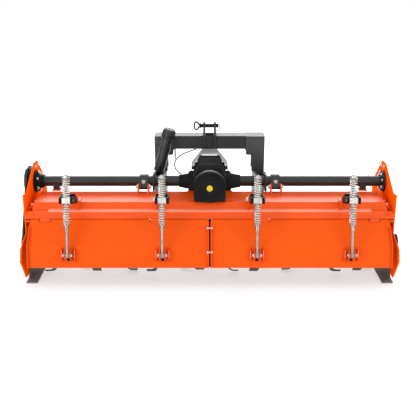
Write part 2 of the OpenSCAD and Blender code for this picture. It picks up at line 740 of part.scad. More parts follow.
// One flange with three tines bent to each side
module tine_wheel(i) difference() {
    union() {
        bar_x(rotor_at, flange_d / 2, flange_x(i) - flange_t / 2, flange_x(i) + flange_t / 2);
        for (side = [-1, 1], k = [0:2]) translate([flange_x(i) + side * (flange_t / 2 - 2), rotor_at[0], rotor_at[1]])
            rotate([120 * k + 37 * i + (side > 0 ? 60 : 0), 0, 0]) tine(side);
    }
    bar_x(rotor_at, rotor_d / 2 + run_fit, flange_x(i) - 2 * tine_reach, flange_x(i) + 2 * tine_reach);
}

module tine_wheels() color(black) for (i = [0:flange_n - 1]) tine_wheel(i);

// Skids: a foot with an upturned nose and a web bolted to the side plate's inner face
skid_rear_y = -272;
skid_front_y = 340;
nose_r = 120;
web_h = 120;

module skid(x0, foot_x) color(black) {
    along_x(x0, x0 + skid_w) {
        polygon([[skid_rear_y, 0], [skid_front_y, 0], [skid_front_y, skid_t], [skid_rear_y, skid_t]]);
        translate([skid_front_y, nose_r]) intersection() {
            difference() {
                circle(r = nose_r);
                circle(r = nose_r - skid_t);
            }
            polygon([[0, 0], [0, -2 * nose_r], 2 * nose_r * [sin(50), -cos(50)]]);
        }
    }
    along_x(foot_x, foot_x + skid_t) polygon([[skid_rear_y + 60, skid_t], [skid_front_y, skid_t],
        [skid_front_y - 60, web_h], [skid_rear_y + 160, web_h]]);
}

module skid_right() skid(inner_x - skid_w, inner_x - skid_t);
module skid_left() skid(-inner_x, -inner_x);

// Manual canister, leaning against the left hitch post
canister_d = 76;
canister_len = 232;
canister_lean = 15.5;
canister_foot = [30 - beam_half, beam_rear_y - post_t - canister_d / 2 - 6, side_top_z + 17];
cap_d = 86;
cap_len = 72;

module on_canister() translate(canister_foot) rotate([0, canister_lean, 0]) children();

module manual_canister() color(black) on_canister() {
    cylinder(d = canister_d, h = canister_len);
    translate([0, 0, canister_len - 26]) cylinder(d = canister_d + 6, h = 26);
}

module canister_cap() color(black) on_canister() translate([0, 0, canister_len]) {
    cylinder(d = cap_d, h = cap_len - 10);
    translate([0, 0, cap_len - 10]) cylinder(d1 = cap_d, d2 = cap_d - 14, h = 10);
}

// Two straps that hold the canister to the post
module canister_clips() color(black) for (h = [40, 150]) on_canister() translate([0, 0, h]) {
    difference() {
        cylinder(d = canister_d + 8, h = 22);
        translate([0, 0, -1]) cylinder(d = canister_d + 2 * eps_fit, h = 24);
    }
    translate([-15, canister_d / 2 + 3, 0]) cube([30, 3, 22]);
}

// Breather hose from the beam's underside round to the left trumpet, swept along hand-set points
hose_d = 8;
hose_sides = 8;
hose_beam_w = 764;          // beam width that the hose's points are set for
hose_at = [for (p = [[-96, 390, 718], [-140, 378, 706], [-190, 358, 690], [-224, 336, 668], [-240, 308, 642],
    [-238, 276, 620], [-224, 244, 606], [-208, 214, 600], [-192, 184, 598]])
    [p[0] * beam_w / hose_beam_w, p[1], p[2] + hood_top_z - 495]];

function unit(v) = v / norm(v);
function tangent(p, i) = unit(p[min(i + 1, len(p) - 1)] - p[max(i - 1, 0)]);

module breather_hose() color(black) {
    n = len(hose_at);
    s = hose_sides;
    pts = [for (i = [0:n - 1], j = [0:s - 1])
        let (t = tangent(hose_at, i), u = unit(cross(t, [0, 1, 0.2])), v = cross(t, u), a = 360 * j / s)
        hose_at[i] + hose_d / 2 * (cos(a) * u + sin(a) * v)];
    faces = concat(
        [[for (j = [s - 1:-1:0]) j]],
        [for (i = [0:n - 2], j = [0:s - 1], h = [0, 1]) let (k = (j + 1) % s)
            h == 0 ? [i * s + j, i * s + k, (i + 1) * s + k] : [i * s + j, (i + 1) * s + k, (i + 1) * s + j]],
        [[for (j = [0:s - 1]) (n - 1) * s + j]]);
    polyhedron(pts, faces, convexity = 6);
}

place() hood();
place() hood_brackets();
place() side_plate_left();
place() side_plate_right();
place() hinge_pin();
place() cross_tube();
place() left_hub();
place() right_flange();
place() gearbox();
place() gearbox_cover();
place() oil_plug();
place() pto_guard();
place() pto_stub();
place() drive_case();
place() drive_case_cover();
place() bearing_right();
place() hitch_beam();
place() hitch_posts();
place() hitch_side_plates();
place() top_ears();
place() top_pin();
place() lower_pins();
place() tube_clamps();
place() spring_arms();
place() rod_swivels();
place() spring_rods();
place() upper_springs();
place() lower_springs();
place() tailboard_left();
place() tailboard_right();
place() tailboard_brackets();
place() rotor_shaft();
place() tine_wheels();
place() skid_left();
place() skid_right();
place() manual_canister();
place() canister_cap();
place() canister_clips();
place() breather_hose();
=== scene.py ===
# %% [markdown]
# # A three-point rotary tiller
#
# The machine stands on its skids, seen from behind: an orange hood and tailboard over a tined rotor,
# a black cross tube with a gearbox in its middle, and a black gantry that the tractor lifts it by.
# The solids come from the frame, in metres. This lesson gives them their finishes and adds what a
# solid model leaves out: bolts, coil springs, weld beads, the hose and the small handles.

# %% The frame
import json
import math

import bmesh
import bpy
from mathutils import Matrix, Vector


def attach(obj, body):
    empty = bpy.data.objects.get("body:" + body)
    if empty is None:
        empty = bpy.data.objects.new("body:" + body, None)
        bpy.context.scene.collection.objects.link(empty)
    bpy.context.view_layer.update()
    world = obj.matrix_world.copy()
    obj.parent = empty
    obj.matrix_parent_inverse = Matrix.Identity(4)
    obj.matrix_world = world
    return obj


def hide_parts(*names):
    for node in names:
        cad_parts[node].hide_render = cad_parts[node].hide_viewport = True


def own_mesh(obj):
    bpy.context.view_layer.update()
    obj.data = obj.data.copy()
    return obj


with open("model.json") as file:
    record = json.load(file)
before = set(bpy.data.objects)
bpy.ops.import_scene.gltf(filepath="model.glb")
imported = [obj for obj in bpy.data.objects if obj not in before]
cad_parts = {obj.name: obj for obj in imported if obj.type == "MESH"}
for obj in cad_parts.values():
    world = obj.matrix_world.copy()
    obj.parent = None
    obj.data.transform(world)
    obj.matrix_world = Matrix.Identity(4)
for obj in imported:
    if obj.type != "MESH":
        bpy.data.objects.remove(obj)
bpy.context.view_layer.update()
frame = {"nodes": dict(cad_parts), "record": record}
nodes = frame["nodes"]

# %% [markdown]
# ## Camera, floor and light
#
# The picture was taken from behind, a little above the hitch, with a normal lens on a square frame.
# The camera looks straight along +Y and only tips down, so uprights stay nearly upright. A wide pale
# floor, which glows a little so that it stays white, and a white sky give the soft, even light of a
# catalogue picture. One large lamp stands over the machine, one to each side behind the camera, and
# a long one in front glances off the hood's flat top.

# %% Camera
FRAME_PX = 416
FOCAL_PX = 690
SENSOR_MM = 36
CAMERA_AT = (-0.011, -4.379, 1.92)
CAMERA_DIP = math.radians(19.25)

camera_data = bpy.data.cameras.new("camera")
camera_data.sensor_width = SENSOR_MM
camera_data.lens = FOCAL_PX / FRAME_PX * SENSOR_MM
camera = bpy.data.objects.new("camera", camera_data)
camera.location = CAMERA_AT
camera.rotation_euler = (math.radians(90) - CAMERA_DIP, 0, 0)
bpy.context.scene.collection.objects.link(camera)
bpy.context.scene.camera = camera
print("lens:", round(camera_data.lens, 1), "mm")

# %% Helpers for node trees and meshes
BOX_FACES = ((0, 1, 3, 2), (4, 6, 7, 5), (0, 4, 5, 1), (2, 3, 7, 6), (0, 2, 6, 4), (1, 5, 7, 3))


def add_node(tree, kind, inputs=None, **settings):
    """A new node with its settings and inputs; an input is a value or another node's socket."""
    made = tree.nodes.new(kind)
    for key, value in settings.items():
        setattr(made, key, value)
    for key, value in (inputs or {}).items():
        if isinstance(value, bpy.types.NodeSocket):
            tree.links.new(value, made.inputs[key])
        else:
            made.inputs[key].default_value = value
    return made


def link_mesh(name, points, edges=(), faces=()):
    """A mesh object at the origin, with its place in its points and its faces outward."""
    mesh = bpy.data.meshes.new(name)
    mesh.from_pydata([tuple(p) for p in points], list(edges), list(faces))
    turned = bmesh.new()
    turned.from_mesh(mesh)
    bmesh.ops.recalc_face_normals(turned, faces=turned.faces)
    turned.to_mesh(mesh)
    turned.free()
    made = bpy.data.objects.new(name, mesh)
    bpy.context.scene.collection.objects.link(made)
    return made


def box_faces(first):
    """The faces of a box whose eight corners start at an index, the last of three axes varying first."""
    return [tuple(first + k for k in face) for face in BOX_FACES]


# %% Floor, sky and lamps
FLOOR_HALF = 30.0
FLOOR_TONE = (0.50, 0.53, 0.53, 1)
FLOOR_GLOW = 0.50
WHITE = (1, 1, 1, 1)


def make_floor():
    h = FLOOR_HALF
    floor = link_mesh("floor", [(-h, -h, 0), (h, -h, 0), (h, h, 0), (-h, h, 0)], (), [(0, 1, 2, 3)])
    pale = bpy.data.materials.new("pale_floor")
    pale.use_nodes = True
    shader = pale.node_tree.nodes["Principled BSDF"]
    shader.inputs["Base Color"].default_value = FLOOR_TONE
    shader.inputs["Roughness"].default_value = 0.9
    shader.inputs["Specular IOR Level"].default_value = 0.1
    shader.inputs["Emission Color"].default_value = WHITE
    shader.inputs["Emission Strength"].default_value = FLOOR_GLOW
    floor.data.materials.append(pale)


def make_lamp(name, at, target, size, power):
    lamp_data = bpy.data.lights.new(name, "AREA")
    lamp_data.shape = "RECTANGLE"
    lamp_data.size, lamp_data.size_y = size
    lamp_data.energy = power
    lamp = bpy.data.objects.new(name, lamp_data)
    lamp.location = at
    lamp.rotation_euler = (Vector(target) - Vector(at)).to_track_quat("-Z", "Y").to_euler()
    bpy.context.scene.collection.objects.link(lamp)


make_floor()
sky = bpy.data.worlds.new("studio")
sky.use_nodes = True
sky.node_tree.nodes["Background"].inputs["Color"].default_value = WHITE
sky.node_tree.nodes["Background"].inputs["Strength"].default_value = 1.0
bpy.context.scene.world = sky
bpy.context.scene.view_settings.view_transform = "Standard"
make_lamp("lamp_over", (0.0, -1.2, 4.2), (0, 0, 0.4), (5.0, 3.0), 22)
make_lamp("lamp_left", (-3.6, -3.8, 1.5), (0.4, 0, 0.3), (2.4, 2.0), 80)
make_lamp("lamp_right", (3.6, -3.8, 1.5), (-0.4, 0, 0.3), (2.4, 2.0), 50)
make_lamp("lamp_front", (0.0, 3.6, 2.75), (0, 0, 0.5), (6.0, 1.2), 210)

# %% [markdown]
# ## Finishes
#
# Every finish is a small tree of noise on Object coordinates, so it stays on the metal when a part
# swings. The orange is a powder coat: nearly one colour, with faint clouds and the fine pebbled skin
# called orange peel. It has more gloss on the hood, whose flat top glints, and none on the side
# plates, which carry a lighter copy of the orange as painted light for their shaded inner faces. A
# paler orange on bends and on the brackets' wing edges is a painted highlight for the bright lines
# that light draws there. The blacks run from half-gloss paint to dull castings with a coarse sand
# skin, and the zinc plating is a patchwork of warm light greys. Some copies are painted light and
# shade: the posts carry a lighter grey copy of the black paint, the gearbox's dull cast black is a
# little lighter as a painted sheen for the highlights on its curved faces, and the spring rods carry
# a darker steel as painted shade inside their coils.

# %% One builder for all the finishes


def finish_tree(name, tones, tone_scale, rough, peel, metallic=0.0, gloss=0.5):
    """A material with two tones in soft clouds, a roughness range and a fine bump.

    tones are the darker and the lighter colour, rough the low and high roughness, peel the scale
    and depth of the bump's grain, gloss the strength of its plain reflections.
    """
    made = bpy.data.materials.new(name)
    made.use_nodes = True
    tree = made.node_tree
    shader = tree.nodes["Principled BSDF"]
    place = add_node(tree, "ShaderNodeTexCoord").outputs["Object"]
    clouds = add_node(tree, "ShaderNodeTexNoise", {"Vector": place, "Scale": tone_scale, "Detail": 5.0})
    ramp = add_node(tree, "ShaderNodeValToRGB", {"Fac": clouds.outputs["Fac"]})
    ramp.color_ramp.elements[0].position = 0.32
    ramp.color_ramp.elements[1].position = 0.68
    ramp.color_ramp.elements[0].color = (*tones[0], 1)
    ramp.color_ramp.elements[1].color = (*tones[1], 1)
    smears = add_node(tree, "ShaderNodeTexNoise", {"Vector": place, "Scale": tone_scale * 4, "Detail": 6.0})
    spread = add_node(tree, "ShaderNodeMapRange",
                      {"Value": smears.outputs["Fac"], "From Min": 0.3, "From Max": 0.7,
                       "To Min": rough[0], "To Max": rough[1]})
    grain = add_node(tree, "ShaderNodeTexNoise", {"Vector": place, "Scale": peel[0], "Detail": 2.0})
    bump = add_node(tree, "ShaderNodeBump",
                    {"Height": grain.outputs["Fac"], "Strength": peel[1], "Distance": 0.002})
    tree.links.new(ramp.outputs["Color"], shader.inputs["Base Color"])
    tree.links.new(spread.outputs["Result"], shader.inputs["Roughness"])
    tree.links.new(bump.outputs["Normal"], shader.inputs["Normal"])
    shader.inputs["Metallic"].default_value = metallic
    shader.inputs["Specular IOR Level"].default_value = gloss
    return made


# %% The finishes of this machine
FINISHES = {
    "orange_paint": finish_tree("orange_paint", [(0.69, 0.069, 0.001), (0.77, 0.080, 0.002)], 2.5,
                                (0.30, 0.40), (420.0, 0.05), gloss=0.10),
    "orange_hood": finish_tree("orange_hood", [(0.70, 0.068, 0.001), (0.78, 0.080, 0.002)], 2.5,
                               (0.30, 0.38), (420.0, 0.05), gloss=0.24),
    # A lighter copy of the orange for the side plates: painted light on their shaded inner faces.
    "lit_orange_side": finish_tree("lit_orange_side", [(0.90, 0.090, 0.002), (0.96, 0.102, 0.003)], 2.5,
                               (0.36, 0.46), (420.0, 0.05), gloss=0.0),
    # A paler orange: a painted highlight for the bright lines on bends and edges.
    "painted_highlight": finish_tree("painted_highlight", [(0.78, 0.22, 0.12), (0.84, 0.30, 0.19)], 3.0,
                             (0.30, 0.38), (420.0, 0.05), gloss=0.24),
    # A darker steel: on the spring rods it is painted shade inside their coils, on the spring rings the
    # rings' own dark steel.
    "dark_steel_and_shade": finish_tree("dark_steel_and_shade", [(0.25, 0.24, 0.23), (0.38, 0.365, 0.35)], 45.0,
                             (0.30, 0.45), (300.0, 0.06), metallic=1.0),
    "black_paint": finish_tree("black_paint", [(0.010, 0.010, 0.0105), (0.018, 0.018, 0.0185)], 6.0,
                               (0.36, 0.48), (360.0, 0.07), gloss=0.42),
    "black_iron": finish_tree("black_iron", [(0.005, 0.005, 0.0055), (0.011, 0.011, 0.0115)], 9.0,
                              (0.40, 0.55), (240.0, 0.22), gloss=0.10),
    # A dull cast black, made a little lighter as a painted sheen for the highlights on the gearbox's curved
    # faces.
    "cast_black_and_sheen": finish_tree("cast_black_and_sheen", [(0.015, 0.015, 0.0155), (0.027, 0.027, 0.0275)], 9.0,
                              (0.50, 0.65), (240.0, 0.22), gloss=0.0),
    # A lighter grey copy of the black paint for the gantry's posts: painted light.
    "lit_black_paint": finish_tree("lit_black_paint", [(0.040, 0.040, 0.041), (0.055, 0.055, 0.056)], 6.0,
                              (0.40, 0.52), (360.0, 0.07), gloss=0.35),
    "pale_grey": finish_tree("pale_grey", [(0.24, 0.24, 0.243), (0.33, 0.33, 0.332)], 8.0,
                             (0.32, 0.44), (360.0, 0.07), gloss=0.4),
    "worn_paint": finish_tree("worn_paint", [(0.095, 0.095, 0.097), (0.15, 0.149, 0.147)], 18.0,
                              (0.42, 0.60), (300.0, 0.10), gloss=0.4),
    "tine_steel": finish_tree("tine_steel", [(0.012, 0.012, 0.013), (0.035, 0.033, 0.031)], 22.0,
                              (0.35, 0.60), (180.0, 0.15)),
    "zinc_plate": finish_tree("zinc_plate", [(0.52, 0.50, 0.47), (0.72, 0.70, 0.66)], 45.0,
                              (0.28, 0.42), (300.0, 0.06), metallic=1.0),
    "bare_steel": finish_tree("bare_steel", [(0.30, 0.30, 0.31), (0.44, 0.44, 0.44)], 30.0,
                              (0.25, 0.42), (500.0, 0.08), metallic=0.95),
    "yellow_plastic": finish_tree("yellow_plastic", [(0.56, 0.40, 0.006), (0.64, 0.46, 0.010)], 40.0,
                                  (0.25, 0.35), (600.0, 0.04), gloss=0.2),
    "black_plastic": finish_tree("black_plastic", [(0.009, 0.009, 0.0095), (0.015, 0.015, 0.0155)], 14.0,
                                 (0.18, 0.26), (500.0, 0.02), gloss=0.45),
    "black_rubber": finish_tree("black_rubber", [(0.006, 0.006, 0.006), (0.011, 0.011, 0.011)], 30.0,
                                (0.50, 0.65), (500.0, 0.08), gloss=0.12),
}

# Nodes that look unlike their record's slot. Among them, the side plates' lighter orange, the posts'
# lighter grey and the gearbox's lighter cast black are painted light, and the rods' darker steel is
# painted shade.
OWN_FINISH = {"hood": "orange_hood", "side_plate_left": "lit_orange_side", "side_plate_right": "lit_orange_side",
              "skid_left": "worn_paint", "skid_right": "worn_paint", "gearbox": "cast_black_and_sheen",
              "pto_guard": "pale_grey", "hitch_posts": "lit_black_paint", "top_pin": "black_iron",
              "spring_arms": "black_iron", "spring_rods": "dark_steel_and_shade"}
for part in frame["record"]["subparts"]:
    skin = nodes[part["node"]].data.materials
    skin.clear()
    skin.append(FINISHES[OWN_FINISH.get(part["node"], part["material_slot"])])
print("finishes:", len(FINISHES))

# %% [markdown]
# ## Bolts
#
# Hex bolts repeat all over the machine, so one Geometry Nodes tree makes them: each point of a
# mesh is a seat that knows which way its bolt points and how big it is. The tree puts a washer, a
# six-sided head and a bevelled top on every seat and turns them to their own directions.

# %% Shared tools for trees and pieces


def new_tree(name, inputs):
    """A geometry tree with a Geometry input, named inputs and a Geometry output."""
    tree = bpy.data.node_groups.new(name, "GeometryNodeTree")
    face = tree.interface
    face.new_socket("Geometry", in_out="INPUT", socket_type="NodeSocketGeometry")
    for label, kind, value in inputs:
        socket = face.new_socket(label, in_out="INPUT", socket_type=kind)
        if value is not None:
            socket.default_value = value
    face.new_socket("Geometry", in_out="OUTPUT", socket_type="NodeSocketGeometry")
    return tree, tree.nodes.new("NodeGroupInput"), tree.nodes.new("NodeGroupOutput")


def end_tree(tree, group_in, group_out, geometry):
    """Realizes the instances, sets the material and ends the tree."""
    real = add_node(tree, "GeometryNodeRealizeInstances", {"Geometry": geometry})
    skin = add_node(tree, "GeometryNodeSetMaterial",
                    {"Geometry": real.outputs[0], "Material": group_in.outputs["Material"]})
    tree.links.new(skin.outputs[0], group_out.inputs[0])


def grow(obj, tree, values):
    """Runs a tree on an object with named input values and keeps the result as a plain mesh."""
    modifier = obj.modifiers.new(tree.name, "NODES")
    modifier.node_group = tree
    for item in tree.interface.items_tree:
        if item.item_type == "SOCKET" and item.in_out == "INPUT" and item.name in values:
            modifier[item.identifier] = values[item.name]
    graph = bpy.context.evaluated_depsgraph_get()
    grown = bpy.data.meshes.new_from_object(obj.evaluated_get(graph))
    obj.modifiers.clear()
    obj.data = grown
    return obj


def fit_piece(obj, body):
    """The piece rides on a body."""
    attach(obj, body)
    print(obj.name, "on", body, len(obj.data.polygons), "faces")
    return obj


def mesh_piece(name, points, faces, body, slot, finish=None):
    """A closed mesh as a piece, shown in its slot's finish or in another."""
    made = link_mesh(name, points, (), faces)
    made.data.materials.append(FINISHES[finish or slot])
    return fit_piece(made, body)


# %% The bolt tree


def make_bolt_tree():
    tree, group_in, group_out = new_tree("hex_bolts", [
        ("Head radius", "NodeSocketFloat", 0.010), ("Head height", "NodeSocketFloat", 0.008),
        ("Washer radius", "NodeSocketFloat", 0.014), ("Washer height", "NodeSocketFloat", 0.0025),
        ("Material", "NodeSocketMaterial", None)])
    given = group_in.outputs
    bevel, sunk = 0.22, 0.04  # shares of the head's height; the crown starts sunk inside the head

    def times(socket, factor, other=None):
        product = add_node(tree, "ShaderNodeMath", {0: socket, 1: factor}, operation="MULTIPLY").outputs[0]
        if other is None:
            return product
        return add_node(tree, "ShaderNodeMath", {0: product, 1: other}, operation="ADD").outputs[0]

    def stack(mesh, height):
        lift = add_node(tree, "ShaderNodeCombineXYZ", {"Z": height})
        return add_node(tree, "GeometryNodeTransform",
                        {"Geometry": mesh, "Translation": lift.outputs[0]}).outputs[0]

    washer = add_node(tree, "GeometryNodeMeshCylinder",
                      {"Vertices": 20, "Radius": given["Washer radius"], "Depth": given["Washer height"]})
    shank_h = times(given["Head height"], 1 - bevel)
    head = add_node(tree, "GeometryNodeMeshCylinder",
                    {"Vertices": 6, "Radius": given["Head radius"], "Depth": shank_h})
    crown_h = times(given["Head height"], bevel + sunk)
    crown = add_node(tree, "GeometryNodeMeshCone",
                     {"Vertices": 6, "Radius Top": times(given["Head radius"], 0.84),
                      "Radius Bottom": times(given["Head radius"], 0.995), "Depth": crown_h})
    parts = add_node(tree, "GeometryNodeJoinGeometry")
    tree.links.new(stack(washer.outputs["Mesh"], times(given["Washer height"], 0.5)), parts.inputs[0])
    head_at = times(shank_h, 0.5, given["Washer height"])
    tree.links.new(stack(head.outputs["Mesh"], head_at), parts.inputs[0])
    crown_at = times(given["Head height"], 1 - bevel - sunk, given["Washer height"])
    tree.links.new(stack(crown.outputs["Mesh"], crown_at), parts.inputs[0])
    axis = add_node(tree, "GeometryNodeInputNamedAttribute", {"Name": "axis"}, data_type="FLOAT_VECTOR")
    size = add_node(tree, "GeometryNodeInputNamedAttribute", {"Name": "size"}, data_type="FLOAT")
    turn = add_node(tree, "FunctionNodeAlignRotationToVector",
                    {"Vector": axis.outputs["Attribute"]}, axis="Z")
    set_out = add_node(tree, "GeometryNodeInstanceOnPoints",
                       {"Points": given["Geometry"], "Instance": parts.outputs[0],
                        "Rotation": turn.outputs[0], "Scale": size.outputs["Attribute"]})
    end_tree(tree, group_in, group_out, set_out.outputs[0])
    return tree


BOLT_TREE = make_bolt_tree()


def fasten(name, body, slot, seats, shape=None):
    """Bolts on seats of (point, direction, size); size 1 is an M12, shape changes the tree's inputs."""
    seated = link_mesh(name, [seat[0] for seat in seats])
    facts = seated.data.attributes
    facts.new("axis", "FLOAT_VECTOR", "POINT")
    facts.new("size", "FLOAT", "POINT")
    for i, (_, way, size) in enumerate(seats):
        facts["axis"].data[i].vector = way
        facts["size"].data[i].value = size
    grow(seated, BOLT_TREE, {"Material": FINISHES[slot], **(shape or {})})
    return fit_piece(seated, body)


# %% Places on the machine, in metres
Y_SHIFT = -0.079
HALF_W = 1.185
INNER_X = 1.177
ROTOR_AT = (-0.055 + Y_SHIFT, 0.202)
TUBE_AT = (0.170 + Y_SHIFT, 0.553)
HOOD_TOP = 0.495
RODS = (-0.883, -0.883 / 3, 0.883 / 3, 0.883)
ROD_SIDES = (1, -1, -1, -1)
SIDES = (-1, 1)
LEFT, RIGHT, REAR, UP = (-1, 0, 0), (1, 0, 0), (0, -1, 0), (0, 0, 1)


def at(x, y, z):
    """A place given from the rotor's line, moved into the frame."""
    return (x, y + Y_SHIFT, z)


def ring(x, centre, radius, count, way, size, start=0.0):
    """Seats in a circle on a face that looks along X."""
    turns = [start + 2 * math.pi * i / count for i in range(count)]
    return [((x, centre[0] + radius * math.cos(t), centre[1] + radius * math.sin(t)), way, size)
            for t in turns]


# %% Bolts of the drive
BOSS_FACE = -HALF_W - 0.050
CASE_FACE = -HALF_W - 0.036
case_bolts = (ring(BOSS_FACE, TUBE_AT, 0.072, 8, LEFT, 0.8)
              + ring(CASE_FACE, ROTOR_AT, 0.076, 7, LEFT, 0.7))
bearing_bolts = ring(HALF_W + 0.014, ROTOR_AT, 0.064, 6, RIGHT, 0.8)
hub_nuts = ring(-INNER_X + 0.025, TUBE_AT, 0.062, 6, RIGHT, 0.95, math.radians(30))
flange_nuts = ring(INNER_X - 0.022, TUBE_AT, 0.059, 8, LEFT, 0.8, math.radians(22.5))
fasten("drive_bolts", "frame", "zinc_plate", case_bolts + bearing_bolts + hub_nuts + flange_nuts)

COVER_FACE = -0.128
COVER_BOLT_R = 0.094
GEAR_AXIS_Z = 0.600
cover_turns = [math.radians(a) for a in (8, 40, 72, 108, 140, 172)]
cover_bolts = [(at(COVER_BOLT_R * math.cos(t), COVER_FACE, GEAR_AXIS_Z + COVER_BOLT_R * math.sin(t)),
                REAR, 0.65) for t in cover_turns]
trumpet_bolts = [((s * 0.136, TUBE_AT[0] + y, TUBE_AT[1] + z), (s, 0, 0), 0.7)
                 for s in SIDES for y in (-0.046, 0.046) for z in (-0.046, 0.046)]
neck_bolts = [(at(s * 0.098, y, 0.652), UP, 0.6)
              for s in SIDES for y in (-0.040, 0.020, 0.080, 0.140)]
fasten("gearbox_bolts", "frame", "black_iron", cover_bolts + trumpet_bolts + neck_bolts)

# %% Bolts of the clamps, the arms and the side plates
CLAMP_X = 0.442
clamp_bolts = [(at(s * CLAMP_X + o * 0.038, 0.110, 0.531), (o, 0, 0), 1.2)
               for s in SIDES for o in SIDES]
strap_bolts = [(at(s * CLAMP_X, 0.123, 0.556), REAR, 1.3) for s in SIDES]
arm_bolts = [(at(x + s * 0.051, -0.144, 0.528), (s, 0, 0), 1.3) for x, s in zip(RODS, ROD_SIDES)]
fasten("arm_bolts", "frame", "zinc_plate", clamp_bolts + strap_bolts + arm_bolts)

HIP_WAY = Vector((0.77, 0.0, 0.64))
hip_bolts = [(at(s * 1.151, y, z), (s * HIP_WAY.x, 0, HIP_WAY.z), 0.8)
             for s in SIDES for y, z in ((-0.070, 0.4655), (0.010, 0.4615), (0.090, 0.4570))]
plate_bolts = [(at(s * INNER_X, y, z), (-s, 0, 0), 0.8)
               for s in SIDES for y, z in ((0.240, 0.648), (0.180, 0.652))]
skid_bolts = [(at(s * HALF_W, y, 0.070), (s, 0, 0), 1.1)
              for s in SIDES for y in (-0.080, 0.080, 0.230)]
fasten("plate_bolts", "frame", "zinc_plate", hip_bolts + plate_bolts + skid_bolts)

# %% Bolts of the tailboard
EYE_AT = (-0.360 + Y_SHIFT, 0.232)
HINGE_AT = Vector((0, -0.172 + Y_SHIFT, 0.391))
FOLD_AT = Vector((0, -0.306 + Y_SHIFT, 0.270))
LOW_AT = Vector((0, -0.334 + Y_SHIFT, 0.136))
eye_bolts = [((x + s * 0.021, *EYE_AT), (s, 0, 0), 0.9) for x in RODS for s in SIDES]
SEAM_BOLTS = (at(0, -0.233, 0.364), at(0, -0.324, 0.238))
SEAM_HALF = 0.011
seam_bolts = [((s * SEAM_HALF, place[1], place[2]), (s, 0, 0), 0.75)
              for place in SEAM_BOLTS for s in SIDES]
fasten("tailboard_bolts", "tailboard", "zinc_plate", eye_bolts + seam_bolts)

# %% [markdown]
# ## Coil springs
#
# Each rod runs through two springs, one above its swivel and one below. A coil is a circle swept
# along a helix, which is a rule, so a tree makes it: a spiral curve, a round profile, and one copy
# on each rod, leaned over with it. The lower springs shorten when the tailboard lifts, but here they
# keep their length; like the upper ones, they only ride with their swivels.

# %% The spring tree


def make_spring_tree():
    tree, group_in, group_out = new_tree("coil_springs", [
        ("Turns", "NodeSocketFloat", 9.0), ("Height", "NodeSocketFloat", 0.1),
        ("Coil radius", "NodeSocketFloat", 0.02), ("Wire radius", "NodeSocketFloat", 0.003),
        ("Lean", "NodeSocketFloat", 0.0), ("Start", "NodeSocketFloat", 0.0),
        ("Material", "NodeSocketMaterial", None)])
    given = group_in.outputs
    coil = add_node(tree, "GeometryNodeCurveSpiral",
                    {"Resolution": 28, "Rotations": given["Turns"], "Start Radius": given["Coil radius"],
                     "End Radius": given["Coil radius"], "Height": given["Height"]})
    wire = add_node(tree, "GeometryNodeCurvePrimitiveCircle",
                    {"Resolution": 10, "Radius": given["Wire radius"]})
    swept = add_node(tree, "GeometryNodeCurveToMesh",
                     {"Curve": coil.outputs[0], "Profile Curve": wire.outputs[0], "Fill Caps": True})
    lift = add_node(tree, "ShaderNodeCombineXYZ", {"Z": given["Start"]})
    along = add_node(tree, "GeometryNodeTransform",
                     {"Geometry": swept.outputs[0], "Translation": lift.outputs[0]})
    lean = add_node(tree, "ShaderNodeCombineXYZ", {"X": given["Lean"]})
    leaned = add_node(tree, "FunctionNodeEulerToRotation", {"Euler": lean.outputs[0]})
    copies = add_node(tree, "GeometryNodeInstanceOnPoints",
                      {"Points": given["Geometry"], "Instance": along.outputs[0],
                       "Rotation": leaned.outputs[0]})
    end_tree(tree, group_in, group_out, copies.outputs[0])
    return tree


SPRING_TREE = make_spring_tree()
SWIVEL_AT = (-0.278 + Y_SHIFT, 0.564)
ROD_RUN = Vector((0, SWIVEL_AT[0] - EYE_AT[0], SWIVEL_AT[1] - EYE_AT[1]))
ROD_WAY = ROD_RUN.normalized()
ROD_LEAN = math.atan2(ROD_RUN.y, ROD_RUN.z)
SWIVEL_HALF = 0.017
WIRE_R = 0.0034
COIL_R = 0.02025
TURNS = 8.0
SEAT_GAP = 0.0003
UPPER_LEN = 0.1184
LOWER_LEN = 0.1264
LOWER_SEAT = -0.144


def coil_set(name, node, start, height):
    """One spring on each rod, from start to start + height along the rod, measured from its swivel."""
    springs = link_mesh(name, [(x, *SWIVEL_AT) for x in RODS])
    grow(springs, SPRING_TREE, {"Turns": TURNS, "Height": height - 2 * WIRE_R, "Coil radius": COIL_R,
                                "Wire radius": WIRE_R, "Lean": -ROD_LEAN, "Start": start + WIRE_R,
                                "Material": FINISHES["zinc_plate"]})
    springs.data.shade_smooth()
    fit_piece(springs, "swivels")
    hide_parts(node)
    return springs


coil_set("upper_coils", "upper_springs", SWIVEL_HALF + SEAT_GAP, UPPER_LEN)
lower_coils = coil_set("lower_coils", "lower_springs", LOWER_SEAT + SEAT_GAP, LOWER_LEN)
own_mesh(lower_coils)

# %% Nuts on top of the rods
NUT_FLAT = {"Head height": 0.0062, "Washer height": 0.0006}
NUT_SEAT = 0.142
rod_nuts = [(Vector((x, *SWIVEL_AT)) + NUT_SEAT * ROD_WAY, ROD_WAY, 1.75) for x in RODS]
fasten("rod_nuts", "rods", "zinc_plate", rod_nuts, NUT_FLAT)

# %% [markdown]
# ## Weld beads
#
# The gantry is welded up from plate, and a weld shows as a row of small overlapping ripples in the
# corner between two plates. A tree lays them: it walks along each edge of a mesh in steps of one
# ripple and drops a slightly uneven bead there, with a fixed seed so that every run is the same.

# %% The bead tree


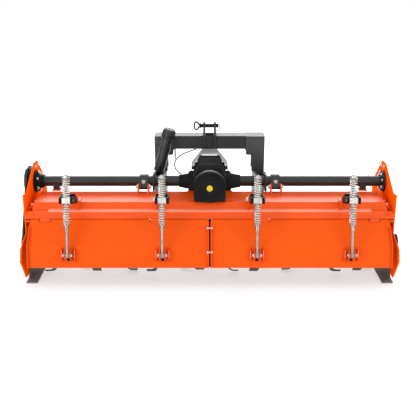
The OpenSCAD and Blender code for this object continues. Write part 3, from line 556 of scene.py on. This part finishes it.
def make_bead_tree():
    tree, group_in, group_out = new_tree("weld_beads", [
        ("Bead radius", "NodeSocketFloat", 0.004), ("Step", "NodeSocketFloat", 0.005),
        ("Seed", "NodeSocketInt", 3), ("Material", "NodeSocketMaterial", None)])
    given = group_in.outputs
    runs = add_node(tree, "GeometryNodeMeshToCurve", {"Mesh": given["Geometry"]})
    steps = add_node(tree, "GeometryNodeResampleCurve",
                     {"Curve": runs.outputs[0], "Length": given["Step"]}, mode="LENGTH")
    bead = add_node(tree, "GeometryNodeMeshIcoSphere",
                    {"Radius": given["Bead radius"], "Subdivisions": 2})
    uneven = add_node(tree, "FunctionNodeRandomValue", {"Seed": given["Seed"]}, data_type="FLOAT")
    uneven.inputs[2].default_value, uneven.inputs[3].default_value = 0.85, 1.12
    drops = add_node(tree, "GeometryNodeInstanceOnPoints",
                     {"Points": steps.outputs[0], "Instance": bead.outputs[0], "Scale": uneven.outputs[1]})
    end_tree(tree, group_in, group_out, drops.outputs[0])
    return tree


BEAD_TREE = make_bead_tree()


def weld(name, body, slot, lines, radius=0.004):
    """Beads along open lines of points."""
    points, edges = [], []
    for line in lines:
        first = len(points)
        points += line
        edges += [(first + i, first + i + 1) for i in range(len(line) - 1)]
    beads = link_mesh(name, points, edges)
    grow(beads, BEAD_TREE, {"Bead radius": radius, "Step": 1.2 * radius, "Material": FINISHES[slot]})
    beads.data.shade_smooth()
    return fit_piece(beads, body)


# %% Welds of the gantry and of the hood's brackets
BEAM_REAR = 0.382
BEAM_Z = (0.722, 0.814)
KNEE_X = 0.252
EAR_X = (0.030, 0.044)
TUBE_R = 0.035


def tube_seam(x, steps=28):
    """A closed line round the cross tube."""
    turns = [2 * math.pi * i / steps for i in range(steps + 1)]
    return [(x, TUBE_AT[0] + TUBE_R * math.cos(t), TUBE_AT[1] + TUBE_R * math.sin(t)) for t in turns]


knee_seams = [[at(s * KNEE_X, BEAM_REAR, z) for z in (BEAM_Z[0] + 0.004, BEAM_Z[1] - 0.003)]
              for s in SIDES]
ear_seams = [[at(s * x, BEAM_REAR, BEAM_Z[0] + 0.014), at(s * x, BEAM_REAR, BEAM_Z[1]),
              at(s * x, BEAM_REAR + 0.088, BEAM_Z[1])] for s in SIDES for x in EAR_X]
tube_seams = [tube_seam(s * x) for s in SIDES for x in (0.3825, 0.3175, 0.3705, 0.3055)]
weld("gantry_welds", "frame", "black_paint", knee_seams + ear_seams + tube_seams, 0.0042)

PLATE_HALF = 0.004
GUSSET_X = [x + s * 0.047 for x, s in zip(RODS, ROD_SIDES)]
GUSSET_FOOT = ((-0.048, HOOD_TOP), (-0.104, HOOD_TOP), (-0.137, 0.447))
gusset_seams = [[at(x + o * PLATE_HALF, y, z) for y, z in GUSSET_FOOT] for x in GUSSET_X for o in SIDES]
lug_seams = [[at(s * CLAMP_X + o * 0.034 + e * PLATE_HALF, y, HOOD_TOP) for y in (0.012, 0.109)]
             for s in SIDES for o in SIDES for e in SIDES]
weld("hood_welds", "frame", "orange_paint", gusset_seams + lug_seams, 0.003)

# %% [markdown]
# ## Bent wire and small trim
#
# The top link pin is drawn out by a bent wire loop at its left end and kept in by a spring ring at
# its right, and rings of the same kind keep the lower pins' links on. Each is one smooth wire. A
# plastic tie hangs from the beam beside the hose.

# %% Wires and rings


def smooth_line(points, steps):
    """Points on a smooth curve through the given ones."""
    knots = [Vector(p) for p in points]
    knots = [2 * knots[0] - knots[1]] + knots + [2 * knots[-1] - knots[-2]]
    line = []
    for a, b, c, d in zip(knots, knots[1:], knots[2:], knots[3:]):
        for i in range(steps):
            t = i / steps
            line.append(0.5 * (2 * b + (c - a) * t + (2 * a - 5 * b + 4 * c - d) * t * t
                               + (3 * b - a - 3 * c + d) * t ** 3))
    return line + [knots[-2]]


def tube_along(name, points, radius, material):
    """A round tube along points, as a mesh with closed ends."""
    curve = bpy.data.curves.new(name, "CURVE")
    curve.dimensions = "3D"
    curve.bevel_depth = radius
    curve.bevel_resolution = 4
    curve.use_fill_caps = True
    spline = curve.splines.new("POLY")
    spline.points.add(len(points) - 1)
    for knot, point in zip(spline.points, points):
        knot.co = (*point, 1)
    drawn = bpy.data.objects.new(name + "_curve", curve)
    bpy.context.scene.collection.objects.link(drawn)
    graph = bpy.context.evaluated_depsgraph_get()
    made = bpy.data.objects.new(name, bpy.data.meshes.new_from_object(drawn.evaluated_get(graph)))
    bpy.context.scene.collection.objects.link(made)
    bpy.data.objects.remove(drawn)
    made.data.shade_smooth()
    made.data.materials.clear()
    made.data.materials.append(material)
    return made


def tube_piece(name, points, radius, body, slot, finish=None):
    """A tube as a piece, shown in its slot's finish or in another."""
    return fit_piece(tube_along(name, points, radius, FINISHES[finish or slot]), body)


TOP_PIN = at(0, 0.432, 0.876)
PIN_LEFT = -0.054
LOOP_WIRE = 0.005
RING_WIRE = 0.0022

LOOP_SHAPE = ((0.004, 0.0), (0.016, 0.006), (0.028, 0.020), (0.040, 0.027), (0.050, 0.016),
              (0.052, -0.006), (0.046, -0.024), (0.034, -0.028), (0.024, -0.016), (0.014, -0.005),
              (0.003, -0.001))
loop_points = [(PIN_LEFT - x, TOP_PIN[1], TOP_PIN[2] + z) for x, z in LOOP_SHAPE]
tube_piece("pin_loop", smooth_line(loop_points, 6), LOOP_WIRE, "frame", "black_iron")


def spring_ring(name, x, centre, radius, lean):
    """A sprung wire ring that hangs over a pin's end, its ends a hair apart inside the pin."""
    turns = [2 * math.pi * (i + 0.1) / 32.2 for i in range(33)]
    drop = Vector((0, 0, -1)) * (radius - 0.006)
    mid = Vector((x, *centre)) + drop
    side = Vector((math.sin(lean), math.cos(lean), 0))
    line = [mid + radius * (math.sin(t) * side + math.cos(t) * Vector((0, 0, 1))) for t in turns]
    return tube_piece(name, line, RING_WIRE, "frame", "zinc_plate", "dark_steel_and_shade")


LOWER_PIN = (0.500 + Y_SHIFT, 0.320)
spring_ring("top_ring", 0.056, TOP_PIN[1:], 0.020, 0.9)
spring_ring("lower_ring_left", -0.476, LOWER_PIN, 0.022, 0.3)
spring_ring("lower_ring_right", 0.476, LOWER_PIN, 0.022, -0.3)

# %% The tie under the beam
TIE_AT = at(-0.241, 0.386, 0.722)
TIE_DROP = 0.078


def make_tie():
    """A narrow strap with a small square head, hanging straight and thinning to its tip."""
    wide, thick = 0.0048, 0.0012
    levels = ((0.001, wide), (-0.6 * TIE_DROP, wide), (-0.9 * TIE_DROP, 0.8 * wide),
              (-TIE_DROP, 0.3 * wide))
    points = [(TIE_AT[0] + sx * w, TIE_AT[1] + sy * thick, TIE_AT[2] + z)
              for z, w in levels for sx, sy in ((-1, -1), (1, -1), (1, 1), (-1, 1))]
    faces = [(4 * i + j, 4 * i + (j + 1) % 4, 4 * i + 4 + (j + 1) % 4, 4 * i + 4 + j)
             for i in range(len(levels) - 1) for j in range(4)]
    last = 4 * len(levels)
    faces += [(0, 1, 2, 3), (last - 1, last - 2, last - 3, last - 4)]
    head_half = (0.004, 0.004, 0.003)
    head_z = TIE_AT[2] - head_half[2]
    corners = [(TIE_AT[0] + x * head_half[0], TIE_AT[1] + y * head_half[1], head_z + z * head_half[2])
               for x in SIDES for y in SIDES for z in SIDES]
    return mesh_piece("beam_tie", points + corners, faces + box_faces(last), "frame", "black_plastic")


make_tie()

# %% [markdown]
# ## The canister's grip
#
# The document canister is a plastic pipe with a screw cap. The cap has moulded grip ribs round it and
# a bead where it meets the pipe, and the same bead closes the pipe's lower end. The ribs are one bar
# copied round a circle, in the cap's own leaned frame.

# %% The rib tree
CANISTER_FOOT = at(-0.352, 0.326, 0.582)
CANISTER_LEAN = math.radians(15.5)
CANISTER_LEN = 0.232
CAP_R = 0.043
BEAD_R = 0.0022


def make_rib_tree():
    tree, group_in, group_out = new_tree("grip_ribs", [
        ("Ribs", "NodeSocketInt", 28), ("Ring radius", "NodeSocketFloat", CAP_R),
        ("Rib length", "NodeSocketFloat", 0.046), ("Rib radius", "NodeSocketFloat", 0.0022),
        ("Middle", "NodeSocketVector", None), ("Lean", "NodeSocketFloat", 0.0),
        ("Material", "NodeSocketMaterial", None)])
    given = group_in.outputs
    ring_points = add_node(tree, "GeometryNodeMeshCircle",
                           {"Vertices": given["Ribs"], "Radius": given["Ring radius"]})
    rib = add_node(tree, "GeometryNodeMeshCylinder",
                   {"Vertices": 8, "Radius": given["Rib radius"], "Depth": given["Rib length"]})
    ribs = add_node(tree, "GeometryNodeInstanceOnPoints",
                    {"Points": ring_points.outputs[0], "Instance": rib.outputs[0]})
    turn = add_node(tree, "ShaderNodeCombineXYZ", {"Y": given["Lean"]})
    placed = add_node(tree, "GeometryNodeTransform",
                      {"Geometry": ribs.outputs[0], "Translation": given["Middle"],
                       "Rotation": turn.outputs[0]})
    end_tree(tree, group_in, group_out, placed.outputs[0])
    return tree


RIB_TREE = make_rib_tree()
CANISTER_WAY = Vector((math.sin(CANISTER_LEAN), 0, math.cos(CANISTER_LEAN)))


def on_canister(height):
    """A place on the canister's axis."""
    return Vector(CANISTER_FOOT) + height * CANISTER_WAY


cap_ribs = link_mesh("cap_ribs", [(0, 0, 0)])
grow(cap_ribs, RIB_TREE, {"Middle": on_canister(CANISTER_LEN + 0.034), "Lean": CANISTER_LEAN,
                          "Material": FINISHES["black_plastic"]})
cap_ribs.data.shade_smooth()
fit_piece(cap_ribs, "frame")


def canister_bead(name, height, radius):
    """A moulded bead round the canister."""
    side = Vector((math.cos(CANISTER_LEAN), 0, -math.sin(CANISTER_LEAN)))
    turns = [2 * math.pi * i / 48 for i in range(49)]
    line = [on_canister(height) + radius * (math.cos(t) * side + math.sin(t) * Vector((0, 1, 0)))
            for t in turns]
    return tube_piece(name, line, BEAD_R, "frame", "black_plastic")


canister_bead("canister_bead_low", 0.006, 0.038)
canister_bead("canister_bead_mid", CANISTER_LEN - 0.026, 0.041)
canister_bead("canister_bead_cap", CANISTER_LEN + 0.004, CAP_R)

# %% [markdown]
# ## The drive stub's splines
#
# The tractor's drive shaft slides on a stub with six splines, and a ring groove near the stub's end
# takes the shaft's locking balls. The stub is a profile swept straight along Y: a circle with six
# flat-bottomed slots, which narrows for the groove and again at the end's bevel.

# %% The splined stub
STUB_Z = 0.610
STUB_Y = (0.242, 0.300, 0.410)
STUB_R = 0.0175
JOURNAL_R = 0.0198
SLOT_DEPTH = 0.0032
SPLINES = 6
ON_SPLINE = (0.05, 0.18, 0.32, 0.45)
IN_SLOT = (0.55, 0.68, 0.82, 0.95)


def stub_section(y, radius, slot):
    """One ring of the stub: each spline has a flat of four points, with a slot of four between."""
    points = []
    for i in range(SPLINES):
        for share in ON_SPLINE + IN_SLOT:
            r = radius - slot if share in IN_SLOT else radius
            t = 2 * math.pi * (i + share) / SPLINES
            points.append(at(r * math.cos(t), y, STUB_Z + r * math.sin(t)))
    return points


def make_stub():
    """The stub from its journal to its end, each ring given as its place, radius and slot depth."""
    rear, face, end = STUB_Y
    groove = (STUB_R - 0.0024, SLOT_DEPTH - 0.0022)
    sections = [(rear, JOURNAL_R, 0), (face + 0.006, JOURNAL_R, 0),
                (face + 0.007, STUB_R, 0), (face + 0.016, STUB_R, 0),
                (face + 0.020, STUB_R, SLOT_DEPTH), (end - 0.034, STUB_R, SLOT_DEPTH),
                (end - 0.033, *groove), (end - 0.027, *groove),
                (end - 0.026, STUB_R, SLOT_DEPTH), (end - 0.003, STUB_R, SLOT_DEPTH),
                (end, STUB_R - 0.003, SLOT_DEPTH - 0.002)]
    points = [p for section in sections for p in stub_section(*section)]
    n = len(points) // len(sections)
    faces = [(i * n + j, i * n + (j + 1) % n, (i + 1) * n + (j + 1) % n, (i + 1) * n + j)
             for i in range(len(sections) - 1) for j in range(n)]
    faces += [tuple(range(n)), tuple(len(points) - 1 - k for k in range(n))]
    stub = mesh_piece("splined_stub", points, faces, "pto_shaft", "bare_steel")
    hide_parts("pto_stub")


make_stub()

# %% [markdown]
# ## The tailboard's seam
#
# The two tailboard panels meet over a narrow gap. A black rubber strip lies behind it as painted
# shade, a dark sheet that stands for the shade seen through the gap; a rubber sleeve closes the gap
# at the hinge, and two bolts through spacers draw the panels' flanges together.

# %% The seam's painted-shade strip and its spacers
# The size of the dark strip that is painted shade behind the seam's gap.
SHADE_STRIP_HALF = 0.0105
SHADE_STRIP_DEPTHS = (0.0058, 0.0088)
SLEEVE_HALF, SLEEVE_R = 0.0095, 0.0155
SPACER_R = 0.0068


def make_seam_shade_strip():
    """A dark strip along the panels' inner faces, bent at their fold, as painted shade behind the gap."""
    start = HINGE_AT.lerp(FOLD_AT, 0.25)
    fold_way = (FOLD_AT - HINGE_AT).normalized()
    inward = Vector((0, -fold_way.z, fold_way.y))
    low_way = (LOW_AT - FOLD_AT).normalized()
    low_inward = Vector((0, -low_way.z, low_way.y))
    corner = (inward + low_inward).normalized()
    line = ((HINGE_AT + 0.012 * inward, inward), (start, inward), (FOLD_AT, corner),
            (LOW_AT - 0.004 * low_way, low_inward))
    points = [place + d * way + Vector((s * SHADE_STRIP_HALF, 0, 0))
              for place, way in line for d in SHADE_STRIP_DEPTHS for s in SIDES]
    faces = [(4 * i + a, 4 * i + b, 4 * i + 4 + b, 4 * i + 4 + a)
             for i in range(len(line) - 1) for a, b in ((0, 1), (1, 3), (3, 2), (2, 0))]
    faces += [(1, 0, 2, 3), (12, 13, 15, 14)]
    return mesh_piece("seam_shade_strip", points, faces, "tailboard", "black_rubber")


def across_seam(place, half):
    """A short line along X through a place."""
    return [Vector(place) + Vector((x, 0, 0)) for x in (-half, 0.0, half)]


make_seam_shade_strip()
tube_piece("hinge_sleeve", across_seam(HINGE_AT, SLEEVE_HALF), SLEEVE_R, "frame", "black_rubber")
for label, place in zip(("upper", "lower"), SEAM_BOLTS):
    tube_piece("seam_spacer_" + label, across_seam(place, SEAM_HALF), SPACER_R, "tailboard", "zinc_plate")

# %% [markdown]
# ## The tailboard's brackets
#
# Each bracket shows a dark slot below its eye, and its two side wings show pale edges. Both are thin
# boxes: the slots lie on the panel's face, not cut through, their black a painted shade for the
# inside of a slot, and the edges lie on the wings in a paler orange as a painted highlight.

# %% Painted shade in the brackets' slots and painted highlights on their wings' edges
WING_X = (0.038, 0.042)
EDGE_HIGHLIGHT_Z = (-0.043, 0.021)
EDGE_HIGHLIGHT_OUT = (0.0255, 0.0270)
SLOT_SHADE_HALF = 0.008
SLOT_SHADE_Z = (-0.052, -0.016)
SLOT_SHADE_OUT = (0.0036, 0.0050)


def panel_y(z):
    """The lower panel's outer face at a height."""
    return LOW_AT.y + (z - LOW_AT.z) / (FOLD_AT.z - LOW_AT.z) * (FOLD_AT.y - LOW_AT.y)


def face_boxes(name, spans, heights, out, slot, finish=None):
    """Thin boxes on the panel: spans in x, heights from the rods' eyes, out the depths of their faces."""
    points, faces = [], []
    levels = [EYE_AT[1] + z for z in heights]
    for span in spans:
        faces += box_faces(len(points))
        points += [(x, panel_y(z) - d, z) for d in out for z in levels for x in span]
    return mesh_piece(name, points, faces, "tailboard", slot, finish)


slot_shade_spans = [(x - SLOT_SHADE_HALF, x + SLOT_SHADE_HALF) for x in RODS]
# Dark boxes on the panel: painted shade for the inside of each slot.
face_boxes("bracket_slot_shades", slot_shade_spans, SLOT_SHADE_Z, SLOT_SHADE_OUT, "black_iron")
edge_highlight_spans = [sorted(x + s * wing for wing in WING_X) for x in RODS for s in SIDES]
# Pale orange boxes on the wings: painted highlights on their edges.
face_boxes("bracket_edge_highlights", edge_highlight_spans, EDGE_HIGHLIGHT_Z, EDGE_HIGHLIGHT_OUT, "orange_paint", "painted_highlight")

# %% [markdown]
# ## The hood's ledge
#
# Along its lower bend the hood carries a narrow pressed ledge that stiffens the sheet. It is one
# folded strip: a nearly level top and a steep face down to the lip. A thin strip in a paler orange
# lies over its edge as a painted highlight for the bright line there.

# %% The ledge
LEDGE_HALF = 1.112
LEDGE_SHAPE = ((-0.130, 0.4565), (-0.154, 0.4530), (-0.1575, 0.4500), (-0.166, 0.4215),
               (-0.150, 0.432), (-0.134, 0.446))
# The thin strip over the ledge's edge, in the paler orange of a painted highlight.
LEDGE_HIGHLIGHT_HALF = 1.03
LEDGE_HIGHLIGHT_SHAPE = ((-0.1305, 0.4575), (-0.154, 0.4540), (-0.1585, 0.4500), (-0.1592, 0.4470),
              (-0.152, 0.4460), (-0.132, 0.4500))


def run_strip(name, shape, half, slot, finish):
    """A straight strip along X with the given cross-section, riding with the frame."""
    count = len(shape)
    points = [at(s * half, y, z) for s in SIDES for y, z in shape]
    faces = [(i, (i + 1) % count, count + (i + 1) % count, count + i) for i in range(count)]
    faces += [tuple(range(count)), tuple(range(2 * count - 1, count - 1, -1))]
    return mesh_piece(name, points, faces, "frame", slot, finish)


run_strip("hood_ledge", LEDGE_SHAPE, LEDGE_HALF, "orange_paint", "orange_hood")
# A paler orange strip over the ledge's edge: a painted highlight.
run_strip("ledge_painted_highlight", LEDGE_HIGHLIGHT_SHAPE, LEDGE_HIGHLIGHT_HALF, "orange_paint", "painted_highlight")

# %% [markdown]
# ## Painted shade between bright parts
#
# Each swivel block shows dark ends beside its bright middle, so a dark cap covers each end and turns
# with the block: painted shade where the block meets its fork. A dull dark pad lies on the beam
# between the top ears as painted shade between them.

# %% Painted shade on the swivels' ends
END_SHADE_SPAN = (0.0255, 0.0325)
END_SHADE_HALF = (0.0172, 0.0182)


def make_swivel_end_shades():
    """A dark cap over each end of each swivel block, square to the rod, as painted shade."""
    across = ROD_WAY.cross(Vector((1, 0, 0)))
    points, faces = [], []
    for x in RODS:
        for s in SIDES:
            faces += box_faces(len(points))
            points += [Vector((x + s * end, *SWIVEL_AT)) + a * END_SHADE_HALF[0] * across
                       + b * END_SHADE_HALF[1] * ROD_WAY
                       for end in END_SHADE_SPAN for a in SIDES for b in SIDES]
    return mesh_piece("swivel_end_shades", points, faces, "swivels", "black_iron")


make_swivel_end_shades()

# %% The painted-shade pad between the top ears
SHADE_PAD_SHAPE = ((0.383, 0.8135), (0.383, 0.817), (0.468, 0.817), (0.468, 0.8135))
SHADE_PAD_HALF = 0.0295
run_strip("ear_gap_shade", SHADE_PAD_SHAPE, SHADE_PAD_HALF, "black_iron", "cast_black_and_sheen")

# %% [markdown]
# ## The hose
#
# A thin breather hose leaves the beam's underside, hangs in a loop and ends on the left trumpet of
# the gearbox. It is one smooth curve with a round section, through the same points as its solid.

# %% The hose
HOSE_POINTS = [(-0.096, 0.390, 0.718), (-0.140, 0.378, 0.706), (-0.190, 0.358, 0.690),
               (-0.224, 0.336, 0.668), (-0.240, 0.308, 0.642), (-0.238, 0.276, 0.620),
               (-0.224, 0.244, 0.606), (-0.208, 0.214, 0.600), (-0.192, 0.184, 0.598)]
HOSE_D = 0.008
hose_line = [p + Vector((0, Y_SHIFT, 0)) for p in smooth_line(HOSE_POINTS, 4)]
hose = tube_piece("hose", hose_line, HOSE_D / 2, "frame", "black_rubber")
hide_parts("breather_hose")
